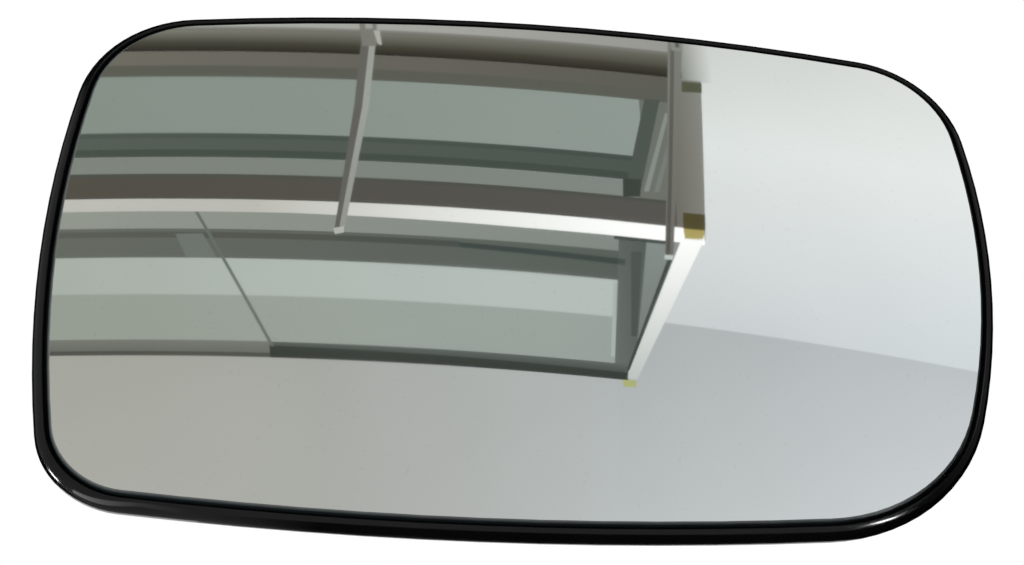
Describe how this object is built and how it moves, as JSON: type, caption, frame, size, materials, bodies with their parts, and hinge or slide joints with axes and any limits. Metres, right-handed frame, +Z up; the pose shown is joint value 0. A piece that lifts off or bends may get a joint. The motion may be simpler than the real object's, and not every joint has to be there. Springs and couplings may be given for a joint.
{
  "type": "door mirror glass",
  "caption": "Convex door mirror glass bonded to a black moulded carrier with a slim surround and a round clip collar on its back.",
  "frame": {"origin": "centre of the clip collar's mouth, behind the glass", "axes": "+Z up as mounted, +Y backwards out of the collar, the mirror face looks along -Y, +X to the right as seen by someone who looks into the glass"},
  "size_m": [0.1736, 0.016, 0.1154],
  "materials": {
    "mirror_face": "silvered convex glass with a finely ground edge",
    "heating_film": "satin film",
    "foam": "closed-cell adhesive foam",
    "black_plastic": "moulded, semi-gloss",
    "terminal_brass": "stamped",
    "spring_steel": "drawn wire"
  },
  "bodies": {
    "root": {"mirror_glass": "mirror_face", "heating_pad": "heating_film", "adhesive_pad": "foam", "carrier_plate": "black_plastic", "terminal_left": "terminal_brass", "terminal_right": "terminal_brass", "retaining_spring": "spring_steel"}
  },
  "joints": []
}
